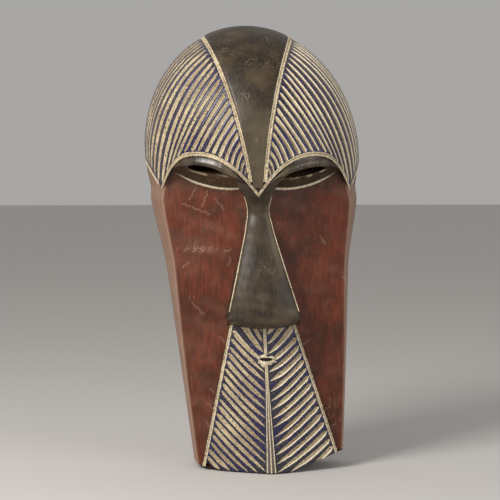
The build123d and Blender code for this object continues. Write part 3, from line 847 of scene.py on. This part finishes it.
# mouth: a small slot with clay smeared round it
mouth = {"inner": (0, -30, 100), "slotHalf": 5.2, "slotHeight": 1.2, "smearWide": 2.6, "smearTall": 2.4,
         "darkHalf": 5.5, "darkHeight": 1.5}
angle = np.linspace(0, 2 * np.pi, 97)
lump = 1 + 0.35 * np.sin(angle * 3 + 1) + 0.25 * np.sin(angle * 7 + 2)
rings = np.linspace(0, 1, 12)[:, None]
x = (mouth["slotHalf"] + mouth["smearWide"] * rings * lump) * np.cos(angle)
z = mouthHeight + (mouth["slotHeight"] + mouth["smearTall"] * rings * lump) * np.sin(angle)
z = z - 2.0 * rings * (np.sin(angle) < 0)
swell = np.sin(np.pi * np.clip(rings * 0.9 + 0.12, 0, 1)) + 0.25 * wave(x, z, x, 1.3, 8)
y = chinPoint(np.abs(x), z, "left")[..., 1] - swell - 0.35
white = np.clip(0.45 + 0.6 * wave(x, z, z, 1.6, 9), 0, 1)
smear = laySheet("mouth_surround_clay", np.stack([x, y, z], axis=-1), clay, {"wall": white})
faceAway(smear, mouth["inner"])
finishPiece(smear, ["mouth_surround"])
# the slot itself: a sheet coloured with painted shade where the opening is
rings = np.array([0.0, 0.5, 0.85, 1.0])[:, None]
x = mouth["darkHalf"] * rings * np.cos(angle)
z = mouthHeight + mouth["darkHeight"] * rings * np.sin(angle)
y = chinPoint(np.abs(x), z, "left")[..., 1] - 0.75 * rings ** 4 - 0.45
finishWood("mouth_slot", np.stack([x, y, z], axis=-1), rawWood, {"paintedShade": 1.0}, mouth["inner"])
print("chin done")

# back: the rim and the adzed hollow, as loops that close towards the middle
hollow = {"midZ": 190.0, "footZ": 16, "topZ": 369, "outerTopZ": 382, "wide": 80, "tall": 95, "wall": 13, "deep": 46,
          "deeper": 18}


# a closed outline, from the middle of the foot round the left side, over the top and back
def outline(low, high, widthOf):
    z = low + (high - low) * (1 - np.cos(np.pi * np.linspace(0, 1, 150))) / 2
    x = -widthOf(z)
    foot = np.linspace(0, 1, 14)[:-1]
    leftX = np.concatenate([foot * x[0], x])
    leftZ = np.concatenate([0 * foot + low, z])
    return np.concatenate([leftX, -leftX[-2::-1]]), np.concatenate([leftZ, leftZ[-2::-1]])


def domeHalf(z, wide, tall):
    return wide * np.sqrt(np.clip(1 - ((z - skull["z"]) / tall) ** 2, 0, 1))


def outerWidth(z):
    dome = domeHalf(z, skull["wide"], skull["tall"])
    return np.where(z < 246, np.maximum(faceWidths(z)[0], dome * (z > 200)), dome)


def innerWidth(z):
    dome = domeHalf(z, hollow["wide"], hollow["tall"])
    return np.where(z < 256, np.minimum(faceWidths(z)[0] - hollow["wall"], dome + 100 * (z < 240)), dome)


outX, outZ = outline(0, hollow["outerTopZ"], outerWidth)
inX, inZ = outline(hollow["footZ"], hollow["topZ"], innerWidth)
outUp, inUp = outZ - hollow["midZ"], inZ - hollow["midZ"]
loops = []
for pull, y in ((0.0, -1.6), (0.35, -0.5), (1.1, 0.0)):
    z = np.where(outZ > 2, hollow["midZ"] + outUp * (1 - pull / 190), outZ)
    loops.append((outX * (1 - pull / 90), z, y + 0 * outX))
for push, y in ((1.3, 0.0), (0.4, -0.5), (0.0, -1.8)):
    loops.append((inX * (1 + push / 75), hollow["midZ"] + inUp * (1 + push / 175), y + 0 * inX))
for share in np.linspace(0.985, 0.0, 54):
    x, z = inX * share, hollow["midZ"] + inUp * share
    y = -(hollow["deep"] + hollow["deeper"] * smoothStep(20, 330, z)) * (1 - share ** 5) ** 0.5
    adze = 0.9 * wave(x, y, z, 5, 61) + 0.6 * wave(x, y, z, 11, 62)
    loops.append((x, z, y - 0.4 + adze * (1 - share ** 6)))
points = np.stack([np.stack([x, y, z], axis=-1) for x, z, y in loops])
# painted shade, darker deeper into the hollow
inside = np.linspace(0, 1, len(loops))[:, None]
sheet = laySheet("rim_and_hollow", points, rawWood, {"paintedShade": 0.75 * smoothStep(0.06, 0.4, inside)})
faceAlong(sheet, (0, 1, 0))
finishPiece(sheet, ["wood_shell"], 30)

# foot: the cut under the chin, coloured with painted shade
u = np.linspace(-1, 1, 120)[None, :]
v = np.linspace(0, 1, 24)[:, None]
x = 64.6 * u + 0 * v
panel = chin["ridgeY"] + np.abs(x) * chin["facetSlope"]
panel = np.where((x > 63.2) | (x < -59.4), 0, panel)
crease = np.where(np.abs(x) < 61.8, -38.2, -38.2 * (block["footHalf"] - np.abs(x)) / block["flankIn"])
front = np.minimum(np.minimum(panel, crease), 0)
sheet = laySheet("foot", np.stack([x, front * (1 - v), -5 + 0 * x], axis=-1), rawWood, {"paintedShade": 0.6})
faceAlong(sheet, (0, 0, -1))
finishPiece(sheet, ["wood_shell"])
print("back and foot done")

# plain floor, even studio light and the camera
bpy.ops.object.select_all(action="DESELECT")
bpy.ops.mesh.primitive_plane_add(size=8, location=(0, 1.0, 0))
floor = bpy.context.object
floor.name = "floor"
paper = bpy.data.materials.new("pale_floor")
paper.use_nodes = True
paper.node_tree.nodes["Principled BSDF"].inputs["Base Color"].default_value = (0.62, 0.60, 0.58, 1)
paper.node_tree.nodes["Principled BSDF"].inputs["Roughness"].default_value = 0.8
floor.data.materials.append(paper)
floor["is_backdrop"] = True

world = bpy.data.worlds.new("studio")
bpy.context.scene.world = world
world.use_nodes = True
world.node_tree.nodes["Background"].inputs["Color"].default_value = (0.72, 0.70, 0.68, 1)
world.node_tree.nodes["Background"].inputs["Strength"].default_value = 0.55


def addLight(name, place, target, size, power, colour):
    bpy.ops.object.light_add(type="AREA", location=place)
    light = bpy.context.object
    light.name = name
    light.data.size = size
    light.data.energy = power
    light.data.color = colour
    light.rotation_mode = "QUATERNION"
    light.rotation_quaternion = (Vector(target) - Vector(place)).to_track_quat("-Z", "Y")


addLight("key", (-0.75, -0.85, 0.95), (0, 0, 0.2), 0.5, 17, (1.0, 0.97, 0.93))
addLight("fill", (1.1, -0.9, 0.5), (0, 0, 0.18), 0.8, 4, (0.95, 0.97, 1.0))

view = {"azimuth": math.radians(-2.2), "elevation": math.radians(4), "distance": 1.6, "width": 0.426,
        "aimX": -0.0181, "aimZ": 0.191, "sensor": 36}
azimuth, elevation = view["azimuth"], view["elevation"]
aim = Vector((shiftX / 1000 + view["aimX"], 0.0, view["aimZ"]))
outward = Vector((math.sin(azimuth) * math.cos(elevation), -math.cos(azimuth) * math.cos(elevation),
                  math.sin(elevation)))
bpy.ops.object.camera_add(location=aim + outward * view["distance"])
camera = bpy.context.object
camera.rotation_mode = "QUATERNION"
camera.rotation_quaternion = (-outward).to_track_quat("-Z", "Y")
camera.data.sensor_width = view["sensor"]
camera.data.lens = view["sensor"] * view["distance"] / view["width"]
bpy.context.scene.camera = camera
bpy.context.scene.view_settings.view_transform = "Standard"

low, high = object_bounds()
